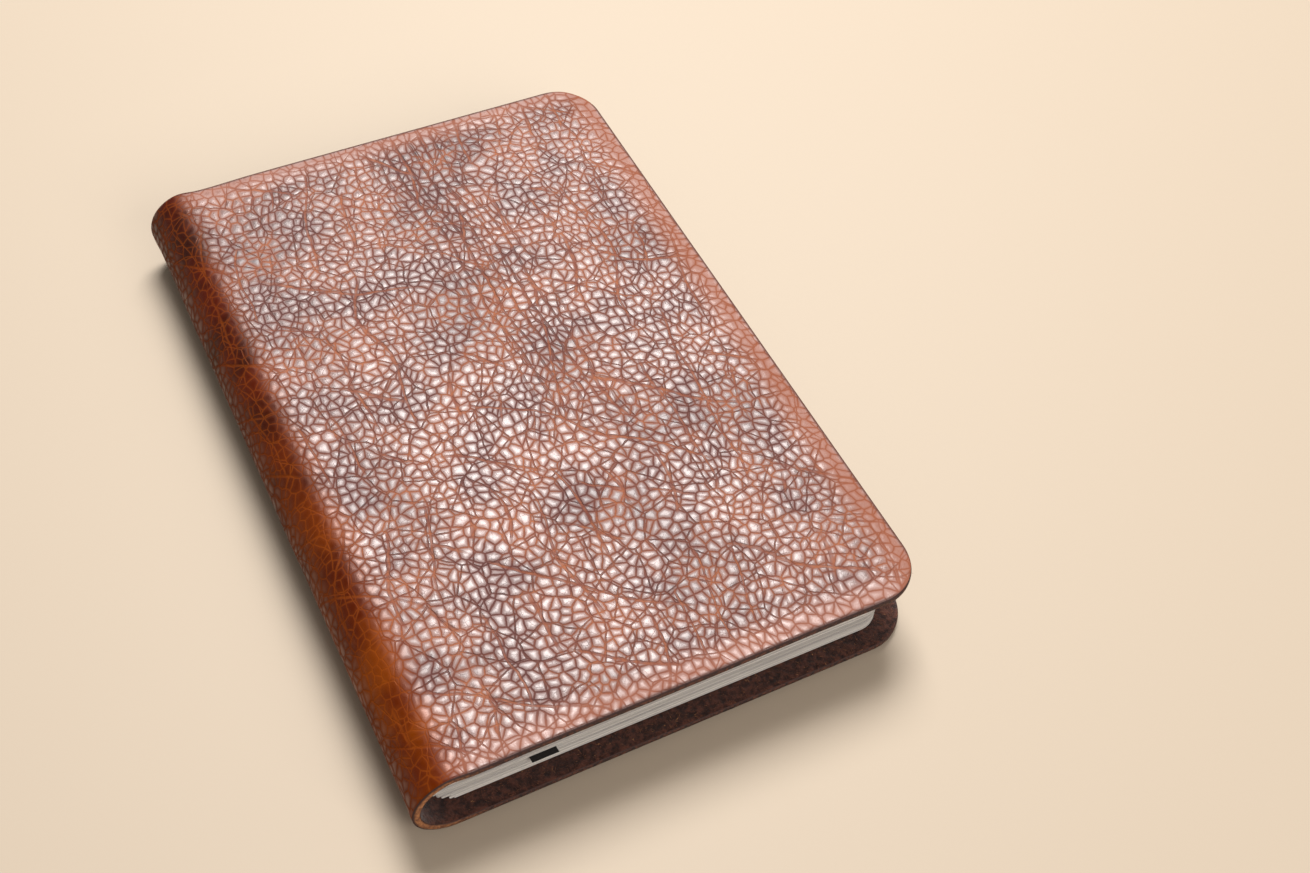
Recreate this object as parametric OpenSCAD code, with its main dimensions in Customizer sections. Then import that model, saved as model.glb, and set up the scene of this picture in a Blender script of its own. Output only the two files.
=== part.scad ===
// Pocket notebook in a soft leather cover, closed and lying on its back.
// X runs from the spine to the fore-edge, Y from the tail to the head, Z up.
// The origin is under the middle of the closed notebook.

/* [Leather cover] */
// Thickness of the leather
leather_t = 1.7; // [1:0.1:2.5]
// Reach of the leather past the pages at the head and the tail
border_end = 4; // [2:0.5:10]
// Reach of the leather past the pages at the fore-edge
border_fore = 5; // [2:0.5:12]
// Radius of the leather's two corners at the fore-edge
cover_corner_r = 9.5; // [3:0.5:14]
// Width of the seam between neighbouring stretches of the leather
seam_gap = 0.06; // [0.04:0.01:0.1]

/* [Pages] */
// Width of the pages from the rounded back to the fore-edge
page_w = 90; // [70:1:130]
// Length of the pages from tail to head
page_l = 140; // [100:1:200]
// Radius of the pages' two corners at the fore-edge
page_corner_r = 4.8; // [1:0.1:9]
// Thickness of one folded section of leaves
section_t = 0.93; // [0.6:0.01:1.4]
// Air between neighbouring sections
section_gap = 0.03; // [0.02:0.01:0.1]
// Thickness of one leaf of an endpaper
endpaper_t = 0.2; // [0.1:0.05:0.4]
// Air between the rear and the front half of the pages
opening_gap = 0.2; // [0.1:0.05:0.5]

/* [Spine] */
// Hollow between the lined back of the pages and the leather
spine_hollow = 1.9; // [1.4:0.1:3]
// How far past the start of the flat leather the outermost leaf starts
joint_room = 0.4; // [0.2:0.1:2]
// Thickness of the cloth lining glued over the back of the pages
lining_t = 0.3; // [0.2:0.05:0.6]
// Distance from the end of the pages to the end of the lining
lining_inset = 3; // [1:0.5:12]
// Thickness of the sewing thread
thread_d = 0.3; // [0.2:0.05:0.5]

/* [Sewing] */
// Stitches along the back of each section
stitches = 4; // [2:1:5]
// Length of the thread that shows at each stitch
stitch_l = 9; // [4:0.5:14]
// Distance from the end of the pages to the nearest stitch
stitch_inset = 12; // [8:1:20]

/* [Ribbon marker] */
// Width of the ribbon
ribbon_w = 5; // [3:0.5:8]
// Thickness of the ribbon
ribbon_t = 0.25; // [0.15:0.05:0.4]
// Air above and below the ribbon
ribbon_gap = 0.1; // [0.08:0.01:0.2]
// Length of ribbon that sticks out past the tail of the pages
ribbon_out = 1.1; // [0.5:0.1:3]
// Distance from the back of the pages to the ribbon's middle at the tail
ribbon_tail_in = 21; // [12:0.5:50]
// Distance from the back of the pages to the ribbon's middle at the head
ribbon_head_in = 7; // [5:0.5:30]

/* [Hidden] */
$fn = 64;

sections = 12;
// Sections in the rear half, and those that lie under the ribbon
rear_sections = 6;
under_ribbon = 3;
// Stretches of the leather round the spine
spine_strips = 3;
// Sections past the edge of the lining, at the rear and at the front
bare_sections = 1;

// Heights: the pages open at half the closed height, which is also the spine's radius.
endpaper_fold_t = 2 * endpaper_t;
section_pitch = section_t + section_gap;
ribbon_channel = ribbon_t + 2 * ribbon_gap - section_gap;
rear_top = leather_t + endpaper_fold_t + rear_sections * section_pitch + ribbon_channel;
spine_r = rear_top + opening_gap / 2;
closed_h = 2 * spine_r;
ribbon_z = section_z(under_ribbon) + section_t + ribbon_gap;

// Widths: the back of the pages is an arc through the middle leaf's fold and the outermost leaf's.
back_x = leather_t + spine_hollow + lining_t + thread_d;
back_depth = spine_r + joint_room - back_x;
back_half_h = spine_r - leather_t;
back_r = (back_half_h * back_half_h + back_depth * back_depth) / (2 * back_depth);
back_centre_x = back_x + back_r;
lining_r = back_r + thread_d;
fore_x = back_x + page_w;
cover_w = fore_x + border_fore;
cover_l = page_l + 2 * border_end;

strip_angle = 180 / spine_strips;
seam_angle = seam_gap / spine_r * 180 / PI;
stitch_pitch = (page_l - 2 * stitch_inset - stitch_l) / (stitches - 1);

leather_colour = [0.45, 0.2, 0.1];
paper_colour = [0.85, 0.83, 0.8];
endpaper_colour = [0.95, 0.94, 0.92];
cloth_colour = [0.8, 0.78, 0.72];
thread_colour = [0.95, 0.95, 0.92];
ribbon_colour = [0.03, 0.03, 0.03];

// Underside of section i, counted from the back cover
function section_z(i) = i <= rear_sections
    ? leather_t + endpaper_fold_t + section_gap + (i - 1) * section_pitch
        + (i > under_ribbon ? ribbon_channel : 0)
    : spine_r + opening_gap / 2 + (i - rear_sections - 1) * section_pitch;

// Where a leaf that reaches height dz above or below the opening starts at the back
function arc_x(dz) = back_centre_x - sqrt(back_r * back_r - min(dz, back_half_h) ^ 2);
function fold_x(z, t) = arc_x(max(abs(z - spine_r), abs(z + t - spine_r)));

function node_name(stem, i) = str(stem, i < 10 ? "0" : "", i);

// Moves from the tail end of the spine's outermost line to the part's own frame
module placed() {
    translate([-cover_w / 2, -cover_l / 2, 0])
        children();
}

// Outline from x0 to x1 and y0 to y0 + l, with round corners at x1
module leaf_outline(x0, x1, y0, l, r) {
    translate([x0, y0])
        square([x1 - r - x0, l]);
    translate([x0, y0 + r])
        square([x1 - x0, l - 2 * r]);
    for (y = [y0 + r, y0 + l - r])
        translate([x1 - r, y])
            circle(r);
}

// Curved stretch along the spine: part of a ring about an axis along Y
module spine_arc(centre_x, r, t, from_angle, to_angle, y0, l) {
    translate([centre_x, y0 + l, spine_r])
        rotate([90, 0, 0])
            rotate([0, 0, from_angle])
                rotate_extrude(angle = to_angle - from_angle)
                    translate([r, 0])
                        square([t, l]);
}

// Flat side of the leather, with its outside at z0 or at z0 + leather_t
module panel(z0) {
    color(leather_colour)
        placed()
            translate([0, 0, z0])
                linear_extrude(leather_t)
                    leaf_outline(spine_r + seam_gap / 2, cover_w, 0, cover_l, cover_corner_r);
}

module back_panel() {
    panel(0);
}

module front_panel() {
    panel(closed_h - leather_t);
}

// Strip k of the leather round the spine, counted from the back panel
module spine_strip(k) {
    end_angle = 270 - (k - 1) * strip_angle - seam_angle / 2;
    color(leather_colour)
        placed()
            spine_arc(spine_r, spine_r - leather_t, leather_t,
                end_angle - strip_angle + seam_angle, end_angle, 0, cover_l);
}

// Sheets folded together, with a round fold at the back and the fore-edge cut square
module folded_sheets(z, t) {
    x0 = fold_x(z, t) + t / 2;
    placed() {
        translate([0, 0, z])
            linear_extrude(t)
                leaf_outline(x0, fore_x, border_end, page_l, page_corner_r);
        translate([x0, border_end, z + t / 2])
            rotate([-90, 0, 0])
                cylinder(r = t / 2, h = page_l);
    }
}

module section(i) {
    color(paper_colour)
        folded_sheets(section_z(i), section_t);
}

module rear_endpaper() {
    color(endpaper_colour)
        folded_sheets(leather_t, endpaper_fold_t);
}

module front_endpaper() {
    color(endpaper_colour)
        folded_sheets(section_z(sections) + section_pitch, endpaper_fold_t);
}

// Cloth over the back of one half of the pages: side is 1 for the rear half, -1 for the front
module lining(side) {
    near_angle = asin(opening_gap / 2 / lining_r);
    far_angle = asin((spine_r - section_z(bare_sections + 1)) / lining_r);
    from_angle = side > 0 ? near_angle : -far_angle;
    to_angle = side > 0 ? far_angle : -near_angle;
    color(cloth_colour)
        placed()
            spine_arc(back_centre_x, lining_r, lining_t, 180 + from_angle, 180 + to_angle,
                border_end + lining_inset, page_l - 2 * lining_inset);
}

module rear_lining() {
    lining(1);
}

module front_lining() {
    lining(-1);
}

// Stitches on the folds of the sections from first to last
module stitching(first, last) {
    color(thread_colour)
        placed()
            for (i = [first : last], s = [0 : stitches - 1]) {
                z = section_z(i);
                translate([fold_x(z, section_t) - thread_d / 2,
                    border_end + stitch_inset + s * stitch_pitch, z + section_t / 2])
                    rotate([-90, 0, 0])
                        cylinder(d = thread_d, h = stitch_l, $fn = 16);
            }
}

module rear_thread() {
    stitching(1, rear_sections);
}

module front_thread() {
    stitching(rear_sections + 1, sections);
}

// Ribbon from the head of the back, slanting to the tail and out past it
module ribbon_marker() {
    head_x = back_x + ribbon_head_in;
    tail_x = back_x + ribbon_tail_in;
    head_y = border_end + page_l;
    tail_y = border_end - ribbon_out;
    half_w = ribbon_w / 2;
    color(ribbon_colour)
        placed()
            translate([0, 0, ribbon_z])
                linear_extrude(ribbon_t)
                    polygon([
                        [head_x - half_w, head_y],
                        [tail_x - half_w, tail_y],
                        [tail_x + half_w, tail_y],
                        [head_x + half_w, head_y]
                    ]);
}

back_panel();
for (k = [1 : spine_strips])
    spine_strip(k);
front_panel();
rear_endpaper();
front_endpaper();
for (i = [1 : sections])
    section(i);
rear_lining();
front_lining();
rear_thread();
front_thread();
ribbon_marker();
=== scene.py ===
"""Pocket notebook in a soft leather cover, closed and lying on its back.

X runs from the spine to the fore-edge, Y from the tail to the head, Z up, in metres.
The leather is cut and grained as one flat hide, then wrapped round the pages.
"""

import math
import random

import bpy
import numpy as np
from mathutils import Matrix, Vector


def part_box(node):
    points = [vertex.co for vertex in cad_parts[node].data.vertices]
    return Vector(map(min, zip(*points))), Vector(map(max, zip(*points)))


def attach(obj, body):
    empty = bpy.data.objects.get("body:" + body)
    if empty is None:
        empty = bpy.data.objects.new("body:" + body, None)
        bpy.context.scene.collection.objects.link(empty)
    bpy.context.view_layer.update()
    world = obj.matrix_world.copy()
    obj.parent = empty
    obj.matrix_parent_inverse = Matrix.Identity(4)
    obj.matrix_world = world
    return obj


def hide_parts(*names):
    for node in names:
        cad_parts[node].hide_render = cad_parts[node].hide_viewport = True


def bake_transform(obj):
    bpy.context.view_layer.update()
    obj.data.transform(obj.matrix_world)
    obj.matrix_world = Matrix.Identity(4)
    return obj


MM = 0.001

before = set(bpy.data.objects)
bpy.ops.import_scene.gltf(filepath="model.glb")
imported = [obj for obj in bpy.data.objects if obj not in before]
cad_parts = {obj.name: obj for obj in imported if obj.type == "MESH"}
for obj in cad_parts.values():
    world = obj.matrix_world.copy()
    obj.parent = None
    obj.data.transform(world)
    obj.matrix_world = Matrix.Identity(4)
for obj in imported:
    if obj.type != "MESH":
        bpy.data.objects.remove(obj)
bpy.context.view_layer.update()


# ---------------------------------------------------------------- sizes from the frame
back_low, back_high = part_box("back_panel")
LEATHER_T = back_high.z - back_low.z
CLOSED_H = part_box("front_panel")[1].z
SPINE_R = CLOSED_H / 2
FORE_X = back_high.x
SPINE_X = -FORE_X
SPINE_CENTRE_X = SPINE_X + SPINE_R
COVER_W = FORE_X - SPINE_X
COVER_L = back_high.y - back_low.y
TAIL_Y = back_low.y
COVER_CORNER_R = 9.5 * MM

FLAT_PANEL = COVER_W - SPINE_R
SPINE_GIRTH = math.pi * SPINE_R
HIDE_L = 2 * FLAT_PANEL + SPINE_GIRTH

section_low, section_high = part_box("section_01")
PAGE_FORE_X = section_high.x
PAGE_TAIL_Y = section_low.y
PAGE_L = section_high.y - section_low.y
PAGE_CORNER_R = 4.8 * MM
SECTIONS = 12
REAR_SECTIONS = 6

LINING_T = 0.3 * MM
THREAD_D = 0.3 * MM
BACK_CENTRE_IN = 11.36 * MM   # from the spine to the centre of the pages' rounded back
BACK_CENTRE_X = SPINE_X + BACK_CENTRE_IN
LINING_R = BACK_CENTRE_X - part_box("rear_lining")[0].x - LINING_T
STITCHES = 4
STITCH_L = 9 * MM
STITCH_INSET = 12 * MM
STITCH_PITCH = (PAGE_L - 2 * STITCH_INSET - STITCH_L) / (STITCHES - 1)
RIBBON_W = 5 * MM


# ---------------------------------------------------------------- modelling helpers
def deselect():
    if bpy.context.object and bpy.context.object.mode != "OBJECT":
        bpy.ops.object.mode_set(mode="OBJECT")
    bpy.ops.object.select_all(action="DESELECT")


def pick(*objects):
    """Selects these objects alone, the first one active."""
    deselect()
    for piece in objects:
        piece.select_set(True)
    bpy.context.view_layer.objects.active = objects[0]


def points_of(piece):
    points = np.zeros(len(piece.data.vertices) * 3)
    piece.data.vertices.foreach_get("co", points)
    return points.reshape(-1, 3)


def put_points(piece, points):
    piece.data.vertices.foreach_set("co", np.asarray(points, float).ravel())
    piece.data.update()


def smoothstep(low, high, value):
    share = np.clip((value - low) / (high - low), 0, 1)
    return share * share * (3 - 2 * share)


def flat_sheet(name, length, width, step, z):
    """A flat grid from x 0 to length, centred across, with cells of about step."""
    deselect()
    bpy.ops.mesh.primitive_grid_add(
        x_subdivisions=round(length / step), y_subdivisions=round(width / step), size=1)
    sheet = bpy.context.object
    sheet.name = name
    sheet.scale = (length, width, 1)
    sheet.location = (length / 2, 0, z)
    bpy.ops.object.transform_apply(location=True, rotation=True, scale=True)
    return sheet


def round_four_corners(points, length, width, radius):
    """Moves a flat sheet's square corners, and the rows inside them, onto quarter circles."""
    middle = np.array([length / 2, 0])
    flat = points[:, :2] - middle
    straight = np.array([length / 2 - radius, width / 2 - radius])
    past = np.maximum(np.abs(flat) - straight, 0)
    distance = np.maximum(np.hypot(past[:, 0], past[:, 1]), 1e-12)
    ease = np.where(past.max(1) > 0, past.max(1) / distance, 1)
    rounded = np.minimum(np.abs(flat), straight) + past * ease[:, None]
    points[:, :2] = np.sign(flat) * rounded + middle
    return points


def apply_modifier(piece, modifier):
    pick(piece)
    bpy.ops.object.modifier_apply(modifier=modifier.name)


def give_thickness(sheet, thickness):
    """Makes a flat sheet a thin slab that lies just under it."""
    wall = sheet.modifiers.new("thickness", "SOLIDIFY")
    wall.thickness = thickness
    wall.offset = -1
    apply_modifier(sheet, wall)


def select_open_edges():
    """In edit mode, selects the edges that have a face on one side only."""
    bpy.ops.mesh.select_mode(type="EDGE")
    bpy.ops.mesh.select_all(action="DESELECT")
    bpy.ops.mesh.select_non_manifold(
        extend=False, use_wire=False, use_boundary=True, use_multi_face=False,
        use_non_contiguous=False, use_verts=False)


def corner_vertices(mesh):
    """The vertex at each corner of each face, in the order of the faces."""
    vertices = np.zeros(len(mesh.loops), int)
    mesh.loops.foreach_get("vertex_index", vertices)
    return vertices


def flat_map(piece, name, flat_points):
    """A UV map that keeps each vertex's place on the flat sheet, in metres."""
    layer = piece.data.uv_layers.new(name=name)
    corners = flat_points[corner_vertices(piece.data), :2]
    layer.data.foreach_set("uv", corners.astype(np.float32).ravel())


# ---------------------------------------------------------------- node helpers
class Tree:
    """Short words for adding nodes to a material's tree or a geometry tree."""

    def __init__(self, tree):
        self.tree = tree

    def add(self, kind, **settings):
        node = self.tree.nodes.new(kind)
        for key, value in settings.items():
            setattr(node, key, value)
        return node

    def feed(self, socket, value):
        if isinstance(value, bpy.types.NodeSocket):
            self.tree.links.new(value, socket)
        elif value is not None:
            socket.default_value = value

    def math(self, operation, a, b=None, c=None):
        node = self.add("ShaderNodeMath", operation=operation)
        for socket, value in zip(node.inputs, (a, b, c)):
            self.feed(socket, value)
        return node.outputs[0]

    def vector(self, operation, a, b=None, scale=None):
        node = self.add("ShaderNodeVectorMath", operation=operation)
        self.feed(node.inputs[0], a)
        if b is not None:
            self.feed(node.inputs[1], b)
        if scale is not None:
            self.feed(node.inputs["Scale"], scale)
        return node.outputs[0]

    def ramp(self, value, low, high, to_low=0.0, to_high=1.0):
        node = self.add("ShaderNodeMapRange", interpolation_type="SMOOTHSTEP")
        for key, part in (("Value", value), ("From Min", low), ("From Max", high),
                          ("To Min", to_low), ("To Max", to_high)):
            self.feed(node.inputs[key], part)
        return node.outputs[0]

    def noise(self, place, scale, detail=2.0, roughness=0.5, colour=False):
        node = self.add("ShaderNodeTexNoise")
        self.feed(node.inputs["Vector"], place)
        node.inputs["Scale"].default_value = scale
        node.inputs["Detail"].default_value = detail
        node.inputs["Roughness"].default_value = roughness
        return node.outputs["Color" if colour else 0]

    def cells(self, place, scale, randomness):
        """How far a place is from the nearest line between cells, as a share of a cell."""
        node = self.add("ShaderNodeTexVoronoi", feature="DISTANCE_TO_EDGE",
                        voronoi_dimensions="2D")
        self.feed(node.inputs["Vector"], place)
        node.inputs["Scale"].default_value = scale
        node.inputs["Randomness"].default_value = randomness
        return node.outputs["Distance"]

    def mix(self, share, a, b):
        node = self.add("ShaderNodeMix", data_type="RGBA")
        self.feed(node.inputs["Factor"], share)
        self.feed(node.inputs[6], a)
        self.feed(node.inputs[7], b)
        return node.outputs[2]

    def parts(self, place):
        """A place's three numbers: along, across and up."""
        split = self.add("ShaderNodeSeparateXYZ")
        self.feed(split.inputs[0], place)
        return split.outputs

    def faded(self, share, strength, mask):
        return self.math("MULTIPLY", self.math("MULTIPLY", share, strength), mask)


def colour(red, green, blue):
    """A colour as a designer writes it, 0 to 255, turned into light values."""
    shares = [value / 255 for value in (red, green, blue)]
    return tuple(s / 12.92 if s <= 0.04045 else ((s + 0.055) / 1.055) ** 2.4
                 for s in shares) + (1.0,)


def new_material(name):
    material = bpy.data.materials.new(name)
    material.use_nodes = True
    tree = Tree(material.node_tree)
    shader = material.node_tree.nodes["Principled BSDF"]
    return material, tree, shader


def roughen(tree, shader, height_mm, strength):
    """Shades the surface as if it rose and fell by a height in mm."""
    bump = tree.add("ShaderNodeBump")
    bump.inputs["Strength"].default_value = strength
    bump.inputs["Distance"].default_value = MM
    tree.feed(bump.inputs["Height"], height_mm)
    tree.feed(shader.inputs["Normal"], bump.outputs[0])


# ---------------------------------------------------------------- the leather's grain
PEBBLE = 2.1           # width of a pebble of the grain, mm
PEBBLE_VARIETY = 0.86  # how unequal the pebbles are, 0 to 1
FURROW_HALF = 0.21     # half the width of the furrows between pebbles, mm
CREASE_CELL = 6.6      # distance between creases that run past several pebbles, mm
CREASE_HALF = 0.20     # half the width of those creases, mm
CRACK_CELL = 1.25      # distance between the fine cracks inside the pebbles, mm
CRACK_HALF = 0.11      # half the width of the fine cracks, mm
BUNDLE_X = 0.60        # where the bundle of long creases lies, as a share of the width
BUNDLE_SPACING = 2.7   # distance between the creases of the bundle, mm
BUNDLE_SLANT = 0.05    # how far the bundle leans sideways for each mm of its length


def shifted(tree, place, wavelength, reach, detail=2.0, seed=0.0):
    """The place pushed about by smooth noise, so that a pattern made on it wanders."""
    start = tree.vector("ADD", place, (seed, seed * 0.7, seed * 1.3))
    push = tree.noise(start, 1 / wavelength, detail, colour=True)
    centred = tree.vector("SUBTRACT", push, (0.5, 0.5, 0.5))
    return tree.vector("ADD", place, tree.vector("SCALE", centred, scale=reach))


def lines_between(tree, place, cell, half_width, variety=1.0):
    """Share 1 on the lines between cells, and 0 from half_width away, both in mm. The
    second result is the distance to the line, as a share of a cell."""
    edge = tree.cells(place, 1 / cell, variety)
    return tree.ramp(edge, 0.15 * half_width / cell, half_width / cell, 1.0, 0.0), edge


def long_lines(tree, place, degrees, spacing, half_width, seed):
    """Long wandering creases side by side, that come and go: share 1 on the creases."""
    turned = tree.add("ShaderNodeVectorRotate", rotation_type="Z_AXIS")
    tree.feed(turned.inputs["Vector"], place)
    turned.inputs["Angle"].default_value = math.radians(degrees)
    wandering = shifted(tree, turned.outputs[0], 34, 16, 1.0, seed=seed)
    lane = tree.math("FRACT", tree.math("MULTIPLY", tree.parts(wandering)[0], 1 / spacing))
    off_line = tree.math("MULTIPLY", tree.math("ABSOLUTE", tree.math("SUBTRACT", lane, 0.5)),
                         spacing)
    line = tree.ramp(off_line, 0.2 * half_width, half_width, 1.0, 0.0)
    seen = tree.noise(tree.vector("ADD", place, (seed, seed, 0.0)), 1 / 17, 1.0)
    return tree.math("MULTIPLY", line, tree.ramp(seen, 0.44, 0.56))


def long_bundle(tree, place, wavy):
    """A few long creases side by side that run from the head down the front panel."""
    wavy_parts = tree.parts(wavy)
    middle = (HIDE_L - (1 - BUNDLE_X) * COVER_W) / MM
    slant = tree.math("MULTIPLY_ADD", wavy_parts[1], BUNDLE_SLANT, wavy_parts[0])
    stripe = tree.math("FRACT", tree.math("MULTIPLY", slant, 1 / BUNDLE_SPACING))
    off_line = tree.math("ABSOLUTE", tree.math("SUBTRACT", stripe, 0.5))
    line = tree.ramp(off_line, 0.03, 0.12, 1.0, 0.0)
    aside = tree.math("ABSOLUTE", tree.math("SUBTRACT", slant, middle))
    beside = tree.ramp(aside, 5.0, 11.0, 1.0, 0.0)
    reach = tree.ramp(tree.parts(place)[1], -30.0, 8.0)
    return tree.math("MULTIPLY", line, tree.math("MULTIPLY", beside, reach))


def grain(tree, place_mm):
    """The hide's pattern at a place on the flat hide in mm: shares from 0 to 1 by name."""
    flowing = shifted(tree, place_mm, 24, 4.5, 1.0)
    wavy = shifted(tree, flowing, 2.8, 0.8, 2.0, seed=31)
    stretched = tree.vector("MULTIPLY", wavy, (1.06, 0.96, 1.0))
    furrow, edge = lines_between(tree, stretched, PEBBLE, FURROW_HALF, PEBBLE_VARIETY)
    dome = tree.ramp(edge, 0.07, 0.42)

    crease = lines_between(tree, tree.vector("ADD", stretched, (7.0, 3.0, 2.0)),
                           CREASE_CELL, CREASE_HALF)[0]
    crease = tree.math("MAXIMUM", crease, long_bundle(tree, place_mm, wavy))
    lengthways = long_lines(tree, wavy, degrees=6, spacing=7.5, half_width=0.34, seed=57.0)
    crossing = long_lines(tree, wavy, degrees=-52, spacing=12.0, half_width=0.38, seed=91.0)
    fold = tree.math("MAXIMUM", lengthways, crossing)

    crack = lines_between(tree, shifted(tree, stretched, 1.2, 0.4, 1.0, seed=83),
                          CRACK_CELL, CRACK_HALF)[0]
    where = tree.noise(place_mm, 1 / 5, 2.0)
    fine = tree.math("MULTIPLY", crack, tree.ramp(where, 0.36, 0.60))
    return {"furrow": furrow, "dome": dome, "crease": crease, "fold": fold, "fine": fine}


def spine_share(tree, place_mm, soften):
    """1 on the leather round the spine, falling to 0 over soften mm either side."""
    aside = tree.math("ABSOLUTE", tree.math(
        "SUBTRACT", tree.parts(place_mm)[0], HIDE_L / MM / 2))
    half_girth = SPINE_GIRTH / MM / 2
    return tree.ramp(aside, half_girth - soften, half_girth + soften, 1.0, 0.0)


def edge_distance(tree, place_mm):
    """How far a place on the flat hide is from the nearest fore-edge, and from the nearest
    cut edge of any kind, in mm."""
    along, across = tree.parts(place_mm)[:2]
    fore = tree.math("MINIMUM", along, tree.math("SUBTRACT", HIDE_L / MM, along))
    end = tree.math("SUBTRACT", COVER_L / MM / 2, tree.math("ABSOLUTE", across))
    return fore, tree.math("MINIMUM", fore, end)


# ---------------------------------------------------------------- the hide, flat
GRAIN_STEP = 0.45 * MM
FLESH_STEP = 0.9 * MM
EDGE_ROWS = 3
EDGE_BULGE = 0.22 * MM
SEAMS = [FLAT_PANEL + SPINE_GIRTH * share for share in (1 / 6, 1 / 2, 5 / 6)]
NEAR = 0.01 * MM       # a place nearer than this to a side of the hide is on that side

# how deep each part of the grain is pressed into the hide, mm
RELIEF = {"furrow": 0.05, "dome": 0.06, "crease": 0.10, "fold": 0.08}
BILLOW = 0.35          # how far the panels rise and fall, mm
NAP_DEPTH = 0.42       # how uneven the flesh side is, mm


def cut_flat_hide():
    """The hide as cut, flat, grain side up, its four corners round and its edge closed."""
    length, width = HIDE_L - 2 * EDGE_BULGE, COVER_L - 2 * EDGE_BULGE
    grain_side = flat_sheet("hide", length, width, GRAIN_STEP, 0)
    flesh_side = flat_sheet("flesh", length, width, FLESH_STEP, -LEATHER_T)
    for side in (grain_side, flesh_side):
        points = round_four_corners(points_of(side), length, width,
                                    COVER_CORNER_R - EDGE_BULGE)
        points[:, 0] += EDGE_BULGE
        put_points(side, points)
    flesh_side.data.flip_normals()
    pick(grain_side, flesh_side)
    bpy.ops.object.join()
    bpy.ops.object.mode_set(mode="EDIT")
    select_open_edges()
    bpy.ops.mesh.bridge_edge_loops(number_cuts=EDGE_ROWS)
    for seam in SEAMS:
        bpy.ops.mesh.select_all(action="SELECT")
        bpy.ops.mesh.bisect(plane_co=(seam, 0, 0), plane_no=(1, 0, 0))
    bpy.ops.object.mode_set(mode="OBJECT")
    return grain_side


def round_cut_edge(hide):
    """Bulges the cut edge's middle rows out to the cover's full size."""
    points = points_of(hide)
    inside = (points[:, 2] < -0.05 * MM) & (points[:, 2] > -LEATHER_T + 0.05 * MM)
    middle = np.array([HIDE_L / 2, 0])
    straight = np.array([HIDE_L / 2 - COVER_CORNER_R, COVER_L / 2 - COVER_CORNER_R])
    flat = points[:, :2] - middle
    out = np.sign(flat) * np.maximum(np.abs(flat) - straight, 0)
    out /= np.maximum(np.hypot(out[:, 0], out[:, 1]), 1e-9)[:, None]
    depth = -points[:, 2] / LEATHER_T
    bulge = EDGE_BULGE * np.sqrt(np.clip(1 - (2 * depth - 1) ** 2, 0, 1))
    points[inside, :2] += (out * bulge[:, None])[inside]
    put_points(hide, points)
    attribute = hide.data.attributes.new("depth", "FLOAT", "POINT")
    attribute.data.foreach_set("value", depth.astype(np.float32))


def grain_relief():
    """Geometry nodes that press the grain into the flat hide and roughen its flesh side."""
    group = bpy.data.node_groups.new("grain_relief", "GeometryNodeTree")
    group.interface.new_socket("Geometry", in_out="INPUT", socket_type="NodeSocketGeometry")
    group.interface.new_socket("Geometry", in_out="OUTPUT", socket_type="NodeSocketGeometry")
    tree = Tree(group)
    source = tree.add("NodeGroupInput")
    result = tree.add("NodeGroupOutput")
    place = tree.add("GeometryNodeInputPosition").outputs[0]
    height = tree.parts(place)[2]
    place_mm = tree.vector("MULTIPLY", place, (1 / MM, 1 / MM, 0))
    pattern = grain(tree, place_mm)
    rim = edge_distance(tree, place_mm)[1]
    grained = tree.ramp(rim, 1.2, 6.0)

    furrows = tree.math("MULTIPLY", pattern["furrow"], RELIEF["furrow"])
    domes = tree.math("MULTIPLY", tree.math("SUBTRACT", 1.0, pattern["dome"]),
                      RELIEF["dome"])
    creases = tree.math("MULTIPLY", pattern["crease"], RELIEF["crease"])
    folds = tree.math("MULTIPLY", pattern["fold"], RELIEF["fold"])
    pressed = tree.math("ADD", tree.math("MAXIMUM", furrows, creases),
                        tree.math("ADD", domes, folds))
    stretched_flat = tree.math("MULTIPLY_ADD", spine_share(tree, place_mm, 5), -0.75, 1.0)
    pressed = tree.math("MULTIPLY", tree.math("MULTIPLY", pressed, grained), stretched_flat)
    billow = tree.math("MULTIPLY", tree.noise(place_mm, 1 / 22, 2.0), BILLOW)
    grain_drop = tree.math("ADD", pressed, tree.math("MULTIPLY", billow, grained))
    nap = tree.math("MULTIPLY", tree.noise(place_mm, 1 / 1.4, 4.0, 0.75), NAP_DEPTH)
    on_grain = tree.math("GREATER_THAN", height, -NEAR)
    on_flesh = tree.math("LESS_THAN", height, -LEATHER_T + NEAR)
    drop = tree.math("SUBTRACT", tree.math("MULTIPLY", nap, on_flesh),
                     tree.math("MULTIPLY", grain_drop, on_grain))
    move = tree.add("ShaderNodeCombineXYZ")
    tree.feed(move.inputs[2], tree.math("MULTIPLY", drop, MM))
    setter = tree.add("GeometryNodeSetPosition")
    tree.feed(setter.inputs["Geometry"], source.outputs[0])
    tree.feed(setter.inputs["Offset"], move.outputs[0])
    tree.feed(result.inputs[0], setter.outputs[0])
    return group


def wrap_hide(flat):
    """Rolls flat places round the spine: grain side out, the back panel first."""
    along, across, height = flat.T
    turned = np.clip((along - FLAT_PANEL) / SPINE_R, 0, math.pi)
    angle = 1.5 * math.pi - turned
    rolled_x = SPINE_CENTRE_X + (SPINE_R + height) * np.cos(angle)
    rolled_z = SPINE_R + (SPINE_R + height) * np.sin(angle)
    below, above = FLAT_PANEL - along, along - FLAT_PANEL - SPINE_GIRTH
    x = rolled_x + np.maximum(below, 0) + np.maximum(above, 0)
    return np.stack([x, across, rolled_z], 1)


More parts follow.
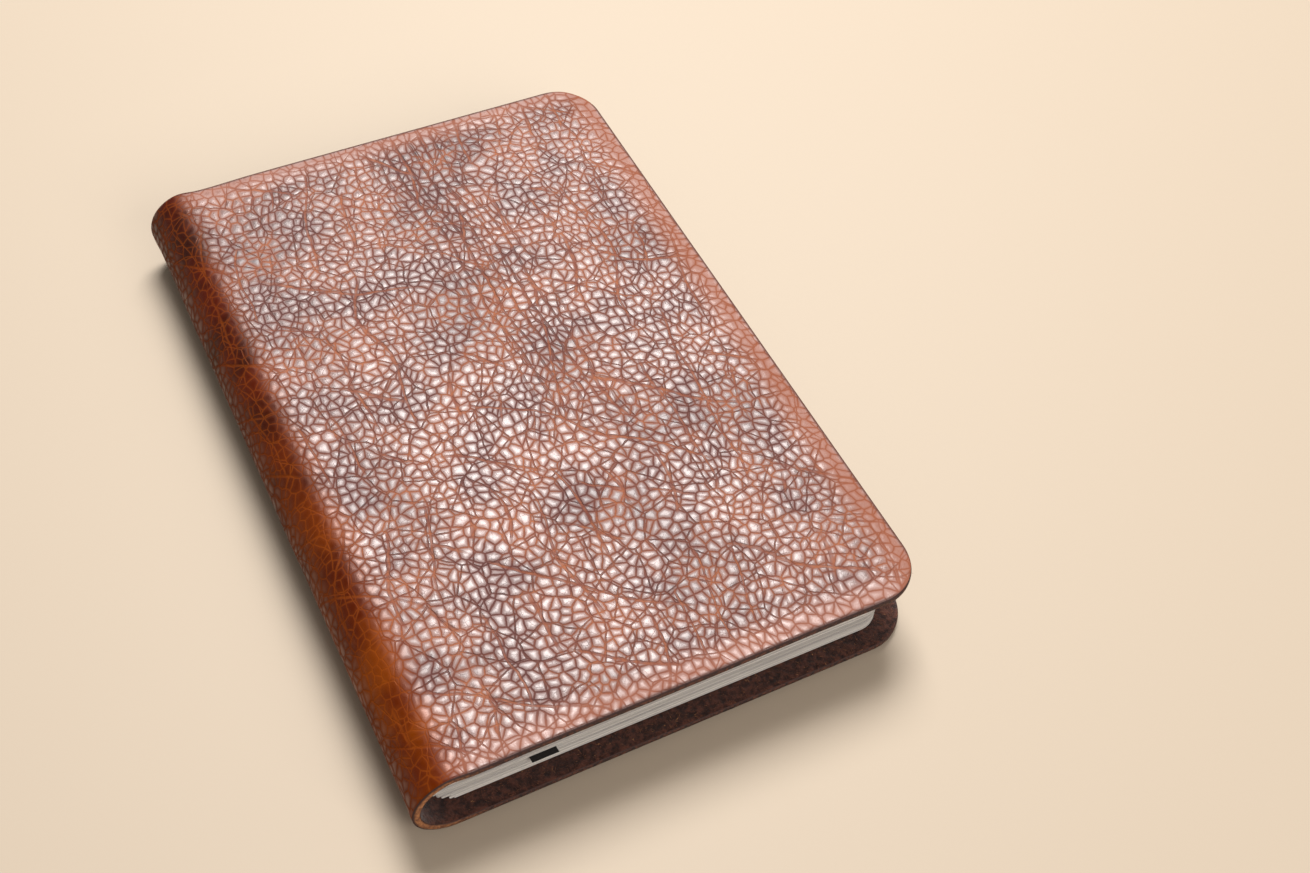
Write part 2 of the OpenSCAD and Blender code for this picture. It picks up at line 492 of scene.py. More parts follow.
def settle_front(points, along):
    """Lets the front panel sag a little: low by the spine, curled down along its edges."""
    past_spine = along - FLAT_PANEL - SPINE_GIRTH
    to_fore = HIDE_L - along
    to_end = COVER_L / 2 - np.abs(points[:, 1])
    y_share = (points[:, 1] - TAIL_Y) / COVER_L
    on_front = smoothstep(-3 * MM, 3 * MM, past_spine)
    sag = 0.30 * np.exp(-((past_spine - 4 * MM) / (7 * MM)) ** 2)
    fore_curl = 0.75 * (1 - smoothstep(0, 7 * MM, to_fore)) ** 1.5
    end_curl = 0.30 * (1 - smoothstep(0, 6 * MM, to_end)) ** 1.5
    lift = 0.35 * np.exp(-((past_spine - 68 * MM) / (16 * MM)) ** 2) * (1 - y_share) ** 2
    points[:, 2] += on_front * (lift - sag - fore_curl - end_curl) * MM
    return points


def vertex_normals(piece):
    normals = np.zeros(len(piece.data.vertices) * 3, np.float32)
    piece.data.vertex_normals.foreach_get("vector", normals)
    return normals.reshape(-1, 3)


GRAIN_FACE, FLESH_FACE, EDGE_FACE = 0, 1, 2
CAP_CORNERS = 40       # a face with more corners than this caps a seam


def split_hide(hide, names):
    """Parts the wrapped hide at its seams. Each piece is capped there, and keeps the
    whole hide's shading, so that no seam shows while the cover is closed."""
    along = np.zeros(len(hide.data.vertices), np.float32)
    hide.data.attributes["along"].data.foreach_get("value", along)
    normal_layer = hide.data.attributes.new("whole_normal", "FLOAT_VECTOR", "POINT")
    normal_layer.data.foreach_set("vector", vertex_normals(hide).ravel())
    bounds = [-1.0, *SEAMS, HIDE_L + 1.0]
    pieces = []
    for index, name in enumerate(names):
        piece = hide.copy()
        piece.data = hide.data.copy()
        bpy.context.scene.collection.objects.link(piece)
        piece.name = name
        starts = np.zeros(len(piece.data.polygons), int)
        totals = np.zeros(len(piece.data.polygons), int)
        piece.data.polygons.foreach_get("loop_start", starts)
        piece.data.polygons.foreach_get("loop_total", totals)
        middle = np.add.reduceat(along[corner_vertices(piece.data)], starts) / totals
        outside = (middle < bounds[index]) | (middle > bounds[index + 1])
        pick(piece)
        piece.data.polygons.foreach_set("select", outside)
        piece.data.vertices.foreach_set("select", np.zeros(len(along), bool))
        piece.data.edges.foreach_set("select", np.zeros(len(piece.data.edges), bool))
        bpy.ops.object.mode_set(mode="EDIT")
        bpy.ops.mesh.select_mode(type="FACE")
        bpy.ops.mesh.delete(type="FACE")
        bpy.ops.object.mode_set(mode="OBJECT")
        cap_seams(piece)
        keep_whole_shading(piece)
        pieces.append(piece)
    bpy.data.objects.remove(hide)
    return pieces


def cap_seams(piece):
    """Closes the flat cuts where the hide was parted."""
    pick(piece)
    bpy.ops.object.mode_set(mode="EDIT")
    select_open_edges()
    bpy.ops.mesh.fill_holes(sides=0)
    bpy.ops.object.mode_set(mode="OBJECT")


def keep_whole_shading(piece):
    """Shades the piece by the whole hide's normals, and its caps flat."""
    mesh = piece.data
    whole = np.zeros(len(mesh.vertices) * 3, np.float32)
    mesh.attributes["whole_normal"].data.foreach_get("vector", whole)
    corners = whole.reshape(-1, 3)[corner_vertices(mesh)]
    for face in mesh.polygons:
        if face.loop_total > CAP_CORNERS:
            corners[face.loop_start:face.loop_start + face.loop_total] = face.normal
    mesh.polygons.foreach_set("use_smooth", np.ones(len(mesh.polygons), bool))
    mesh.normals_split_custom_set([tuple(n) for n in corners.tolist()])
    mesh.attributes.remove(mesh.attributes["whole_normal"])


def make_cover(materials):
    """The leather in four pieces, from the back panel round the spine to the front panel."""
    hide = cut_flat_hide()
    round_cut_edge(hide)
    flat = points_of(hide)
    flat_map(hide, "hide", flat)
    along_layer = hide.data.attributes.new("along", "FLOAT", "POINT")
    along_layer.data.foreach_set("value", flat[:, 0].astype(np.float32))

    for material in materials:
        hide.data.materials.append(material)
    middles = np.zeros(len(hide.data.polygons) * 3)
    hide.data.polygons.foreach_get("center", middles)
    depth = -middles.reshape(-1, 3)[:, 2]
    look = np.full(len(depth), EDGE_FACE)
    look[depth < NEAR] = GRAIN_FACE
    look[depth > LEATHER_T - NEAR] = FLESH_FACE
    hide.data.polygons.foreach_set("material_index", look)

    relief = hide.modifiers.new("grain_relief", "NODES")
    relief.node_group = grain_relief()
    apply_modifier(hide, relief)
    grained = points_of(hide)
    put_points(hide, settle_front(wrap_hide(grained), grained[:, 0]))
    return split_hide(hide, ["cover_back", "cover_spine_lower", "cover_spine_upper",
                             "cover_front"])


# ---------------------------------------------------------------- leather materials
# how deep the shading shows each part of the grain, mm
GRAIN_SHADING = {"furrow": -0.09, "crease": -0.12, "fold": -0.10, "fine": -0.018}
PORES = 0.022          # height of the grain's pores, mm


def hide_place(tree):
    """The place on the flat hide, in mm."""
    coordinates = tree.add("ShaderNodeUVMap", uv_map="hide")
    return tree.vector("SCALE", coordinates.outputs[0], scale=1 / MM)


def leather_grain_material():
    material, tree, shader = new_material("leather_grain")
    place = hide_place(tree)
    pattern = grain(tree, place)
    fore, rim = edge_distance(tree, place)

    broad = tree.noise(place, 1 / 30, 2.0, 0.5)
    patchy = tree.noise(place, 1 / 13, 3.0, 0.6)
    spotty = tree.noise(place, 1 / 2.6, 3.0, 0.6)
    tops = tree.mix(tree.ramp(patchy, 0.38, 0.64), colour(64, 34, 28), colour(92, 52, 42))
    tops = tree.mix(tree.ramp(broad, 0.50, 0.68), tops, colour(50, 32, 36))
    flanks = tree.mix(tree.ramp(patchy, 0.36, 0.66), colour(88, 42, 32), colour(124, 70, 48))
    dark_line = colour(74, 28, 22)
    rust = tree.mix(tree.ramp(spotty, 0.34, 0.66), colour(112, 52, 34), colour(156, 88, 50))
    lines = tree.mix(tree.ramp(patchy, 0.32, 0.66), dark_line, rust)
    grained = tree.ramp(rim, 1.6, 6.5, 0.25, 1.0)
    surface = tree.mix(pattern["dome"], flanks, tops)
    surface = tree.mix(tree.faded(pattern["furrow"], 0.85, grained), surface, lines)
    surface = tree.mix(tree.faded(pattern["fine"], 0.20, grained), surface, dark_line)
    surface = tree.mix(tree.faded(pattern["crease"], 0.5, grained), surface, lines)
    surface = tree.mix(tree.faded(pattern["fold"], 0.6, grained), surface, rust)

    margin = tree.ramp(tree.math("ADD", rim, tree.math("MULTIPLY", patchy, 3.5)), 2.8, 9.5,
                       1.0, 0.0)
    worn = tree.mix(spotty, colour(122, 66, 46), colour(144, 86, 62))
    surface = tree.mix(tree.math("MULTIPLY", margin, 0.8), surface, worn)
    # The orange band along the fore-edges is partly the leather's own amber and partly painted
    # shade: the look of the rolled-over edge, which turns away from the light and loses its
    # sheen.
    amber_and_shade_band = tree.ramp(tree.math("ADD", fore, tree.math("MULTIPLY", patchy, 6.0)),
                           4.0, 12.0, 1.0, 0.0)
    surface = tree.mix(tree.math("MULTIPLY", amber_and_shade_band, 0.7), surface,
                       colour(126, 60, 22))
    # A dark outline painted along the rim of the grain side: painted shade where the cover's
    # edge turns down into shadow.
    rim_shade = tree.ramp(rim, 0.25, 1.1, 1.0, 0.0)
    surface = tree.mix(tree.math("MULTIPLY", rim_shade, 0.85), surface, colour(58, 22, 12))

    # The spine gets its own palette, darker and redder than the panels, amber towards the tail
    # and dark maroon towards the head, with orange veins in the grooves: partly the leather's
    # own colour, partly painted shade, as the spine turns away from the light.
    on_spine = spine_share(tree, place, 4)
    to_head = tree.ramp(tree.parts(place)[1], -COVER_L / MM / 2, COVER_L / MM / 4)
    spine_deep_and_shade = tree.mix(to_head, colour(80, 22, 0), colour(30, 0, 0))
    spine_amber_and_shade = tree.mix(to_head, colour(112, 48, 0), colour(66, 10, 0))
    spine_colour_and_shade = tree.mix(tree.ramp(patchy, 0.38, 0.64), spine_deep_and_shade, spine_amber_and_shade)
    grooves = tree.math("MAXIMUM", pattern["furrow"],
                        tree.math("MAXIMUM", pattern["crease"], pattern["fold"]))
    spine_colour_and_shade = tree.mix(tree.math("MULTIPLY", grooves, 0.30), spine_colour_and_shade,
                       tree.mix(spotty, colour(112, 42, 8), colour(172, 90, 22)))
    surface = tree.mix(on_spine, surface, spine_colour_and_shade)
    tree.feed(shader.inputs["Base Color"], surface)

    dulled = tree.ramp(broad, 0.46, 0.68, 0.33, 0.42)
    flanked = tree.math("MULTIPLY_ADD", tree.math("SUBTRACT", 1.0, pattern["dome"]), 0.26,
                        dulled)
    fore_band_roughness = tree.math("MULTIPLY_ADD", amber_and_shade_band, 0.05, flanked)
    roughness = tree.math("MULTIPLY_ADD", grooves, 0.36, fore_band_roughness)
    tree.feed(shader.inputs["Roughness"], roughness)
    shader.inputs["Specular IOR Level"].default_value = 1.0
    # On the spine the reflections are tinted dark red: painted shade, standing in for the
    # darker surroundings that the spine reflects.
    tree.feed(shader.inputs["Specular Tint"],
              tree.mix(on_spine, (1.0, 0.92, 0.90, 1), (0.50, 0.15, 0.05, 1)))

    pores = tree.noise(place, 1 / 0.32, 3.0, 0.6)
    height = 0.0
    for part, depth in GRAIN_SHADING.items():
        height = tree.math("MULTIPLY_ADD", pattern[part], depth, height)
    height = tree.math("MULTIPLY", height, tree.ramp(rim, 1.4, 6.0, 0.15, 1.0))
    height = tree.math("MULTIPLY", height, tree.math("MULTIPLY_ADD", on_spine, -0.65, 1.0))
    height = tree.math("MULTIPLY_ADD", pores, PORES, height)
    roughen(tree, shader, height, strength=0.8)
    return material


def object_place(tree):
    """The place on the piece itself, in mm."""
    coordinates = tree.add("ShaderNodeTexCoord")
    return tree.vector("SCALE", coordinates.outputs["Object"], scale=1 / MM)


def suede_material():
    material, tree, shader = new_material("leather_flesh")
    place = object_place(tree)
    clumps = tree.noise(place, 1 / 1.3, 4.0, 0.7)
    fibres = tree.noise(tree.vector("MULTIPLY", place, (1.0, 3.2, 1.0)), 1 / 0.5, 3.0, 0.7)
    surface = tree.mix(tree.ramp(clumps, 0.36, 0.66), colour(38, 18, 14), colour(88, 50, 38))
    surface = tree.mix(tree.ramp(fibres, 0.62, 0.76), surface, colour(140, 84, 50))
    tree.feed(shader.inputs["Base Color"], surface)
    shader.inputs["Roughness"].default_value = 0.95
    shader.inputs["Specular IOR Level"].default_value = 0.2
    shader.inputs["Sheen Weight"].default_value = 0.25
    shader.inputs["Sheen Roughness"].default_value = 0.5
    height = tree.math("MULTIPLY_ADD", clumps, 0.35, tree.math("MULTIPLY", fibres, 0.15))
    roughen(tree, shader, height, strength=0.9)
    return material


def cut_edge_material():
    material, tree, shader = new_material("leather_cut_edge")
    place = object_place(tree)
    depth = tree.add("ShaderNodeAttribute", attribute_name="depth").outputs["Fac"]
    mottled = tree.noise(place, 1 / 0.6, 4.0, 0.75)
    core = tree.mix(tree.ramp(mottled, 0.35, 0.65), colour(96, 50, 26), colour(164, 108, 64))
    on_spine = spine_share(tree, hide_place(tree), 7)
    # Away from the spine the cut edge is painted dark brown where the spine's is tan; on the
    # front panel's edge this dark is painted shade, as that edge lies in shadow.
    dull = tree.mix(tree.ramp(mottled, 0.40, 0.64), colour(28, 11, 8), colour(94, 50, 32))
    body = tree.mix(on_spine, dull, core)
    surface = tree.mix(tree.ramp(depth, 0.12, 0.34, 1.0, 0.0), body, colour(50, 18, 10))
    surface = tree.mix(tree.ramp(depth, 0.70, 0.96), surface, colour(58, 28, 18))
    tree.feed(shader.inputs["Base Color"], surface)
    shader.inputs["Roughness"].default_value = 0.72
    roughen(tree, shader, tree.math("MULTIPLY", mottled, 0.2), strength=0.7)
    return material


# ---------------------------------------------------------------- paper, cloth, ribbon
def paper_material(name, dark, light, face):
    """Leaf edges streaked dark and light along the cut, the dark streaks painted shade between
    the leaves, and plain faces with a little mottling.
    """
    material, tree, shader = new_material(name)
    place = object_place(tree)
    lines = tree.noise(tree.vector("MULTIPLY", place, (0.01, 0.01, 2.0)), 1.0, 3.0, 0.7)
    mottled = tree.noise(place, 1 / 3.0, 3.0)
    faces_up = tree.parts(tree.add("ShaderNodeTexCoord").outputs["Normal"])[2]
    flat = tree.ramp(tree.math("ABSOLUTE", faces_up), 0.5, 0.9)
    # The dark colour of the streaks is painted shade in the gaps between the leaves.
    edges = tree.mix(tree.ramp(lines, 0.40, 0.60), colour(*dark), colour(*light))
    surface = tree.mix(flat, edges, colour(*face))
    surface = tree.mix(tree.math("MULTIPLY", mottled, 0.06), surface, colour(150, 130, 112))
    tree.feed(shader.inputs["Base Color"], surface)
    shader.inputs["Roughness"].default_value = 0.85
    shader.inputs["Specular IOR Level"].default_value = 0.3
    tooth = tree.noise(place, 1 / 0.25, 2.0)
    roughen(tree, shader, tree.math("MULTIPLY", tooth, 0.05), strength=0.345)
    return material


def woven_material(name, thread_mm, dark, light, roughness, sheen):
    """Plain weave on the piece's own flat map."""
    material, tree, shader = new_material(name)
    coordinates = tree.add("ShaderNodeUVMap", uv_map="flat")
    place = tree.vector("SCALE", coordinates.outputs[0], scale=1 / MM)
    along, across = tree.parts(place)[:2]
    turn = 2 * math.pi / thread_mm
    warp = tree.math("SINE", tree.math("MULTIPLY", along, turn))
    weft = tree.math("SINE", tree.math("MULTIPLY", across, turn))
    weave = tree.math("MULTIPLY_ADD", tree.math("MULTIPLY", warp, weft), 0.5, 0.5)
    uneven = tree.noise(place, 1 / 1.2, 2.0)
    share = tree.math("MULTIPLY", weave, tree.math("ADD", uneven, 0.4))
    surface = tree.mix(share, colour(*dark), colour(*light))
    tree.feed(shader.inputs["Base Color"], surface)
    shader.inputs["Roughness"].default_value = roughness
    shader.inputs["Sheen Weight"].default_value = sheen
    roughen(tree, shader, tree.math("MULTIPLY", weave, 0.06), strength=0.6)
    return material


def thread_material():
    material, tree, shader = new_material("linen_thread")
    place = object_place(tree)
    fuzz = tree.noise(tree.vector("MULTIPLY", place, (4.0, 0.8, 4.0)), 1.0, 3.0, 0.6)
    tree.feed(shader.inputs["Base Color"],
              tree.mix(fuzz, colour(214, 206, 188), colour(246, 242, 232)))
    shader.inputs["Roughness"].default_value = 0.8
    shader.inputs["Sheen Weight"].default_value = 0.2
    return material


def nap_material():
    material, tree, shader = new_material("leather_nap")
    place = object_place(tree)
    strands = tree.noise(place, 1 / 0.45, 2.0)
    surface = tree.mix(tree.ramp(strands, 0.40, 0.56), colour(58, 30, 20), colour(120, 76, 52))
    surface = tree.mix(tree.ramp(strands, 0.60, 0.70), surface, colour(196, 140, 92))
    tree.feed(shader.inputs["Base Color"], surface)
    shader.inputs["Roughness"].default_value = 0.9
    return material


# ---------------------------------------------------------------- folded leaves
LEAF_GAP = 0.012 * MM
SHEETS_PER_SECTION = 4
STAGGER = 0.15 * MM        # how unevenly the leaves of a section end
SHEET_STAGGER = 0.02 * MM  # the same for an endpaper
CORNER_CUTS = 7
FOLD_CUTS = 6


def folded_leaves(name, node, sheets, step_seed, stagger):
    """Sheets folded together at the back, each two leaves, in the space of a CAD node."""
    low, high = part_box(node)
    thickness = high.z - low.z
    pitch = thickness / (2 * sheets)
    leaf_t = pitch - LEAF_GAP
    middle_z = (low.z + high.z) / 2
    centre_x = low.x + thickness / 2
    leaf_l = PAGE_FORE_X - centre_x
    shift = random.Random(step_seed)
    made = []
    for sheet in range(sheets):
        radius = thickness / 2 - pitch * sheet - LEAF_GAP / 2
        fold = math.pi * radius
        in_by = [abs(shift.gauss(0, stagger)) for _ in range(3)]
        length = 2 * leaf_l + fold - in_by[0] - in_by[1]
        width = PAGE_L - 2 * in_by[2]
        deselect()
        bpy.ops.mesh.primitive_plane_add(size=1)
        leaf = bpy.context.object
        leaf.scale = (length, width, 1)
        bpy.ops.object.transform_apply(location=True, rotation=True, scale=True)
        bpy.ops.object.mode_set(mode="EDIT")
        bpy.ops.mesh.select_all(action="SELECT")
        bpy.ops.mesh.bevel(offset=PAGE_CORNER_R, offset_type="OFFSET",
                           segments=CORNER_CUTS, affect="VERTICES")
        for cut in range(FOLD_CUTS + 1):
            at = fold * (cut / FOLD_CUTS - 0.5)
            bpy.ops.mesh.select_all(action="SELECT")
            bpy.ops.mesh.bisect(plane_co=(at, 0, 0), plane_no=(1, 0, 0))
        bpy.ops.object.mode_set(mode="OBJECT")
        give_thickness(leaf, leaf_t)
        flat = points_of(leaf)
        lean = (in_by[0] - in_by[1]) / 2
        along, across, height = flat[:, 0] + lean, flat[:, 1], flat[:, 2]
        turned = np.clip(along / radius, -math.pi / 2, math.pi / 2)
        beyond = np.abs(along) - fold / 2
        x = centre_x - (radius + height) * np.cos(turned) + np.maximum(beyond, 0)
        z = middle_z + (radius + height) * np.sin(turned)
        y = across + PAGE_TAIL_Y + PAGE_L / 2 + shift.uniform(-1, 1) * in_by[2]
        put_points(leaf, np.stack([x, y, z], 1))
        made.append(leaf)
    pick(*made)
    if len(made) > 1:
        bpy.ops.object.join()
    block = bpy.context.object
    block.name = name
    return block


# ---------------------------------------------------------------- lining, thread, ribbon
LINING_STEP = 0.8 * MM
RIBBON_STEP = 0.5 * MM
CLOTH_SHARE = 0.85     # the cloth's thickness, as a share of the room that it has
SATIN_SHARE = 0.6      # the same for the ribbon
STITCH_CUTS = 28
TWIST_PITCH = 5        # length of one turn of the thread's twist, in thread thicknesses


def lining_cloth(name, node):
    """A strip of woven cloth glued round the sewn back of half the pages."""
    low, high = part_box(node)
    strip = flat_sheet(name, high.z - low.z, high.y - low.y, LINING_STEP, 0)
    flat = points_of(strip)
    flat_map(strip, "flat", flat)
    give_thickness(strip, CLOTH_SHARE * LINING_T)
    flat = points_of(strip)
    up = np.clip(low.z + flat[:, 0] - SPINE_R, -LINING_R, LINING_R)
    angle = np.arcsin(up / LINING_R)
    reach = LINING_R + LINING_T + flat[:, 2]
    put_points(strip, np.stack([BACK_CENTRE_X - reach * np.cos(angle), flat[:, 1],
                                SPINE_R + reach * np.sin(angle)], 1))
    strip.data.flip_normals()
    return strip


def one_stitch(length, thickness):
    """A two-ply thread: a tube with a waisted section, twisted, its ends tucked in."""
    deselect()
    bpy.ops.mesh.primitive_cylinder_add(vertices=10, radius=thickness / 2, depth=length,
                                        rotation=(math.pi / 2, 0, 0))
    bpy.ops.object.transform_apply(location=True, rotation=True, scale=True)
    stitch = bpy.context.object
    bpy.ops.object.mode_set(mode="EDIT")
    for cut in range(1, STITCH_CUTS):
        at = length * (cut / STITCH_CUTS - 0.5)
        bpy.ops.mesh.select_all(action="SELECT")
        bpy.ops.mesh.bisect(plane_co=(0, at, 0), plane_no=(0, 1, 0))
    bpy.ops.object.mode_set(mode="OBJECT")
    points = points_of(stitch)
    around = np.arctan2(points[:, 2], points[:, 0])
    twist = 2 * math.pi * points[:, 1] / (TWIST_PITCH * thickness)
    waist = 1 - 0.22 * (0.5 + 0.5 * np.cos(2 * (around - twist)))
    near_end = smoothstep(0.86, 1.0, np.abs(points[:, 1]) / (length / 2))
    points[:, 0] = points[:, 0] * waist * (1 - 0.3 * near_end)
    points[:, 2] = points[:, 2] * waist * (1 - 0.3 * near_end)
    put_points(stitch, points)
    bpy.ops.object.shade_smooth()
    return stitch


def stitching(name, first, last):
    """Stitches on the folds of the sections from first to last, each a copy of one."""
    pattern = one_stitch(STITCH_L, THREAD_D)
    made = []
    for index in range(first, last + 1):
        low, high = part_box(f"section_{index:02d}")
        for place in range(STITCHES):
            stitch = pattern.copy()
            stitch.data = pattern.data.copy()
            bpy.context.scene.collection.objects.link(stitch)
            y = PAGE_TAIL_Y + STITCH_INSET + STITCH_L / 2 + place * STITCH_PITCH
            put_points(stitch, points_of(stitch) + np.array(
                [low.x - THREAD_D / 2, y, (low.z + high.z) / 2]))
            made.append(stitch)
    bpy.data.objects.remove(pattern)
    pick(*made)
    bpy.ops.object.join()
    sewn = bpy.context.object
    sewn.name = name
    return sewn


def ribbon_strip():
    """A satin ribbon laid slanting between two sections, its tail end out past them."""
    low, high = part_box("ribbon_marker")
    length = high.y - low.y
    slant = high.x - low.x - RIBBON_W
    strip = flat_sheet("ribbon", length, RIBBON_W, RIBBON_STEP, 0)
    flat = points_of(strip)
    flat_map(strip, "flat", flat)
    give_thickness(strip, SATIN_SHARE * (high.z - low.z))
    flat = points_of(strip)
    share = flat[:, 0] / length
    x = high.x - RIBBON_W / 2 - slant * share + flat[:, 1]
    out = smoothstep(PAGE_TAIL_Y - low.y, 0, flat[:, 0])
    ripple = 0.03 * MM * np.sin(flat[:, 0] / (1.7 * MM)) * (1 - out)
    droop = 0.06 * MM * out * np.abs(flat[:, 1] / (RIBBON_W / 2))
    z = high.z - 0.05 * MM + flat[:, 2] + ripple - droop
    put_points(strip, np.stack([x, low.y + flat[:, 0], z], 1))
    strip.data.flip_normals()
    bpy.ops.object.shade_smooth_by_angle(angle=math.radians(40))
    return strip


# ---------------------------------------------------------------- nap on the flesh side
NAP_COUNT = 3200
NAP_RIM = 0.3 * MM     # how near the fibres come to the cut edge
NAP_UNDER = 1.5 * MM   # how far in under the pages they start
NAP_ROOT = 0.2 * MM    # how deep in the leather they are rooted


def nap_fibres(name, count, seed, surface_z, side):
    """Short loose fibres on the leather's flesh side, round the pages: side is 1 where it
    faces up and -1 where it faces down. Each is a thin bent sliver."""
    chance = np.random.default_rng(seed)
    tries = count * 6
    x = chance.uniform(SPINE_CENTRE_X + 1 * MM, FORE_X - NAP_RIM, tries)
    y = chance.uniform(TAIL_Y + NAP_RIM, -TAIL_Y - NAP_RIM, tries)
    on_border = (x > PAGE_FORE_X - NAP_UNDER) | (np.abs(y) > PAGE_L / 2 - NAP_UNDER)
    past_x = np.maximum(x - (FORE_X - COVER_CORNER_R), 0)
    past_y = np.maximum(np.abs(y) - (-TAIL_Y - COVER_CORNER_R), 0)
    on_leather = np.hypot(past_x, past_y) < COVER_CORNER_R - NAP_RIM
    keep = np.flatnonzero(on_border & on_leather)[:count]
    x, y = x[keep], y[keep]
    many = len(keep)
    heading = chance.uniform(0, 2 * math.pi, many)
    length = chance.uniform(0.35, 0.95, many) * MM
    width = chance.uniform(0.025, 0.05, many) * MM
    rise = chance.uniform(0.10, 0.34, many) * MM
    along = np.stack([np.cos(heading), np.sin(heading), np.zeros(many)], 1)
    across = np.stack([-np.sin(heading), np.cos(heading), np.zeros(many)], 1)
    up = np.array([0, 0, float(side)])
    rows = []
    for share, thick in ((0.0, 1.0), (0.5, 0.8), (1.0, 0.25)):
        spine = np.stack([x, y, np.full(many, surface_z)], 1)
        spine = spine + along * (share * length)[:, None]
        spine = spine + up * (rise * (1.6 * share - 0.9 * share * share))[:, None]
        for corner in range(3):
            turn = 2 * math.pi * corner / 3
            rows.append(spine + (across * math.cos(turn) + up * math.sin(turn))
                        * (width * thick)[:, None])
    points = np.stack(rows, 1).reshape(-1, 3)
    sides = [(0, 1, 4, 3), (1, 2, 5, 4), (2, 0, 3, 5), (3, 4, 7, 6), (4, 5, 8, 7),
             (5, 3, 6, 8), (2, 1, 0), (6, 7, 8)]
    faces = [[9 * item + corner for corner in face] for item in range(many)
             for face in sides]
    mesh = bpy.data.meshes.new(name)
    mesh.from_pydata(points.tolist(), [], faces)
    nap = bpy.data.objects.new(name, mesh)
    bpy.context.scene.collection.objects.link(nap)
    pick(nap)
    bpy.ops.object.mode_set(mode="EDIT")
    bpy.ops.mesh.select_all(action="SELECT")
    bpy.ops.mesh.normals_make_consistent(inside=False)
    bpy.ops.object.mode_set(mode="OBJECT")
    return nap


# ---------------------------------------------------------------- build
GRAIN_MATERIAL = leather_grain_material()
SUEDE = suede_material()
CUT_EDGE = cut_edge_material()
# The first colour of each paper is the painted shade between its leaves.
PAPER = paper_material("paper_edges", (146, 140, 142), (232, 226, 220), (206, 200, 190))
END_PAPER = paper_material("endpaper_white", (176, 170, 166), (226, 220, 212), (202, 197, 188))
CLOTH = woven_material("lining_cloth", 0.6, (150, 140, 122), (226, 218, 202), 0.9, 0.2)
THREAD = thread_material()
NAP = nap_material()
SATIN = woven_material("ribbon_satin", 0.35, (3, 2, 3), (22, 18, 20), 0.35, 0.1)

back, spine_lower, spine_upper, front = make_cover([GRAIN_MATERIAL, SUEDE, CUT_EDGE])
for piece, nodes in ((back, ("back_panel", "spine_strip_1")),
                     (spine_lower, ("spine_strip_2",)),
                     (spine_upper, ()),
                     (front, ("front_panel", "spine_strip_3"))):
    if nodes:
        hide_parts(*nodes)


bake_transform(back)
for piece, first, second, from_angle, to_angle in (
        (spine_lower, "spine_1", "spine_2", 240, 180),
        (spine_upper, "spine_2", "spine_3", 180, 120)):
    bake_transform(piece)
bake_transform(front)

for index in range(1, SECTIONS + 1):
    node = f"section_{index:02d}"
    block = folded_leaves(f"leaves_{index:02d}", node, SHEETS_PER_SECTION, index, STAGGER)
    block.data.materials.append(PAPER)
    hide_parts(node)
    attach(block, "back_cover" if index <= REAR_SECTIONS else "front_pages")

for side, body in (("rear", "back_cover"), ("front", "front_pages")):
    node = f"{side}_endpaper"
    block = folded_leaves(f"{side}_endpaper_sheet", node, 1, 40, SHEET_STAGGER)
    block.data.materials.append(END_PAPER)
    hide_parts(node)
    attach(block, body)

for side, body, first, last in (("rear", "back_cover", 1, REAR_SECTIONS),
                                ("front", "front_pages", REAR_SECTIONS + 1, SECTIONS)):
    cloth = lining_cloth(f"{side}_lining_cloth", f"{side}_lining")
    cloth.data.materials.append(CLOTH)
    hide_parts(f"{side}_lining")
    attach(cloth, body)
    sewn = stitching(f"{side}_stitches", first, last)
    sewn.data.materials.append(THREAD)
    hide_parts(f"{side}_thread")
    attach(sewn, body)

ribbon = ribbon_strip()
ribbon.data.materials.append(SATIN)
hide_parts("ribbon_marker")
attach(ribbon, "ribbon")

for name, seed, surface_z, side, body in (
        ("nap_back", 11, LEATHER_T - NAP_ROOT, 1, "back_cover"),
        ("nap_front", 12, CLOSED_H - LEATHER_T + NAP_ROOT, -1, "front_cover")):
    nap = nap_fibres(name, NAP_COUNT, seed, surface_z, side)
    nap.data.materials.append(NAP)
    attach(nap, body)


# ---------------------------------------------------------------- floor, light, camera
FLOOR_SIZE = 3.0
FLOOR_DROP = 0.02 * MM
SENSOR_MM = 36
FRAME_WIDTH = 1310
FOCAL_LENGTH = 1702.8  # in the same units as the frame's width


def make_floor():
    deselect()
    bpy.ops.mesh.primitive_plane_add(size=FLOOR_SIZE, location=(0, 0, -FLOOR_DROP))
    floor = bpy.context.object
    floor.name = "floor"
    material, _, shader = new_material("pale_floor")
    shader.inputs["Base Color"].default_value = colour(178, 162, 142)
    shader.inputs["Roughness"].default_value = 0.6
    floor.data.materials.append(material)


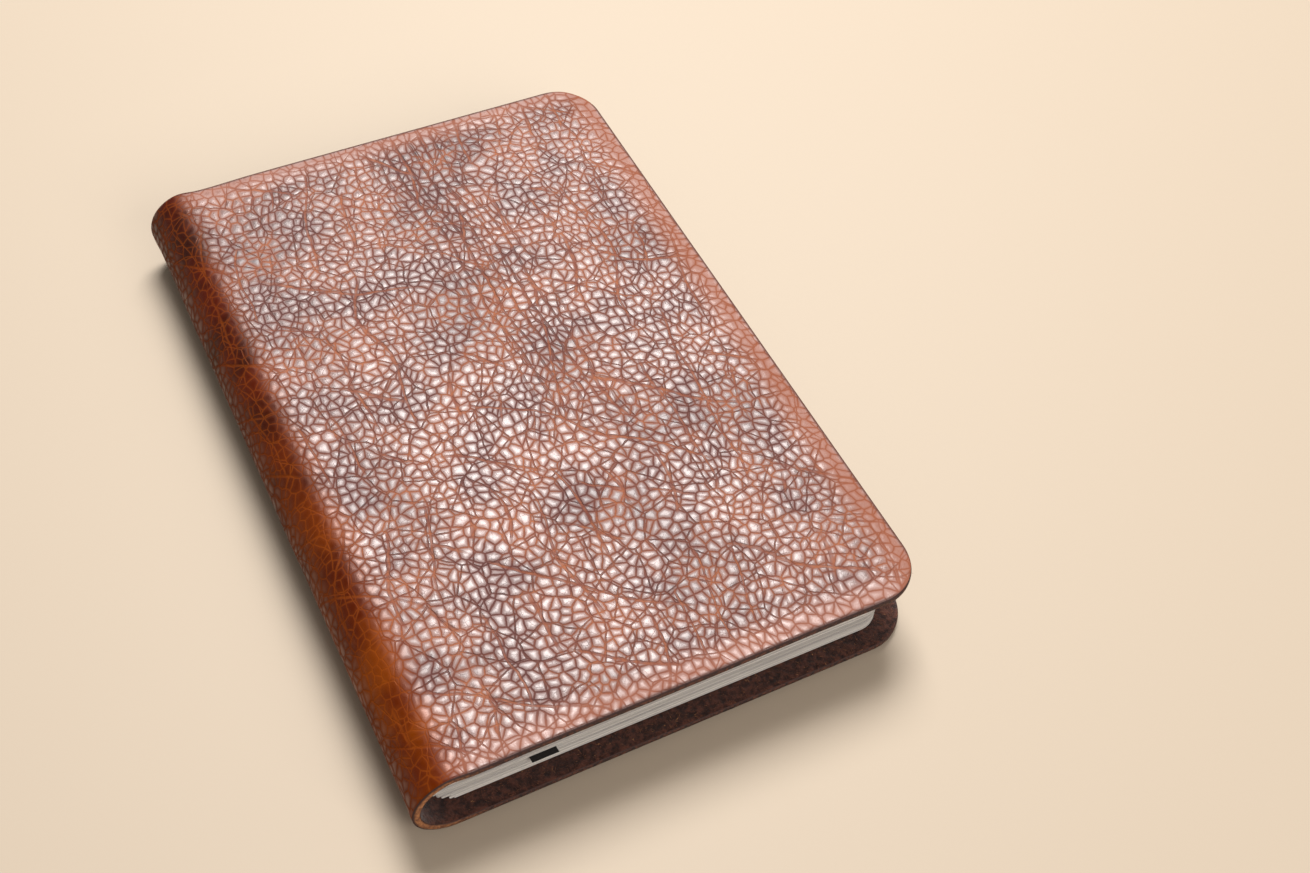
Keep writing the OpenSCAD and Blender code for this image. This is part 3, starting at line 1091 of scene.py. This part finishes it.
def soft_box(name, direction, distance, size, power, tint):
    """A flat soft light that faces the notebook from a direction."""
    light = bpy.data.lights.new(name, "AREA")
    light.shape = "RECTANGLE"
    light.size, light.size_y = size
    light.energy = power
    light.color = tint
    lamp = bpy.data.objects.new(name, light)
    bpy.context.scene.collection.objects.link(lamp)
    toward = Vector(direction).normalized()
    lamp.location = toward * distance
    lamp.rotation_mode = "QUATERNION"
    lamp.rotation_quaternion = toward.to_track_quat("Z", "Y")


def from_angles(azimuth, elevation):
    """The direction to a place, in degrees round from the tail and up from the table."""
    a, e = math.radians(azimuth), math.radians(elevation)
    return Vector((math.sin(a) * math.cos(e), -math.cos(a) * math.cos(e), math.sin(e)))


def make_camera():
    """Looks down on the tail and the spine, as one does at a notebook on a table."""
    azimuth, elevation, roll = -30.70, 51.23, math.radians(5.26)
    distance = 341.65 * MM
    target = Vector((75.634 * MM + SPINE_X, 61.424 * MM + TAIL_Y, 0))
    back_way = from_angles(azimuth, elevation)
    right = Vector((0, 0, 1)).cross(back_way).normalized()
    up = back_way.cross(right)
    rolled_right = math.cos(roll) * right + math.sin(roll) * up
    rolled_up = math.cos(roll) * up - math.sin(roll) * right
    data = bpy.data.cameras.new("camera")
    data.sensor_width = SENSOR_MM
    data.lens = FOCAL_LENGTH / FRAME_WIDTH * SENSOR_MM
    data.clip_start = 0.01
    camera = bpy.data.objects.new("camera", data)
    bpy.context.scene.collection.objects.link(camera)
    turn = Matrix((rolled_right, rolled_up, back_way)).transposed()
    camera.matrix_world = Matrix.Translation(target + back_way * distance) @ turn.to_4x4()
    bpy.context.scene.camera = camera


bpy.context.scene.view_settings.view_transform = "Standard"
make_floor()
world = bpy.data.worlds.new("studio")
world.use_nodes = True
world.node_tree.nodes["Background"].inputs["Color"].default_value = (1.0, 0.96, 0.92, 1)
world.node_tree.nodes["Background"].inputs["Strength"].default_value = 0.30
bpy.context.scene.world = world
soft_box("key", from_angles(153, 57), 1.1, (0.55, 0.55), 19, (1.0, 0.99, 0.98))
soft_box("fill", from_angles(15, 34), 1.2, (0.8, 0.6), 8, (1.0, 0.97, 0.94))
make_camera()
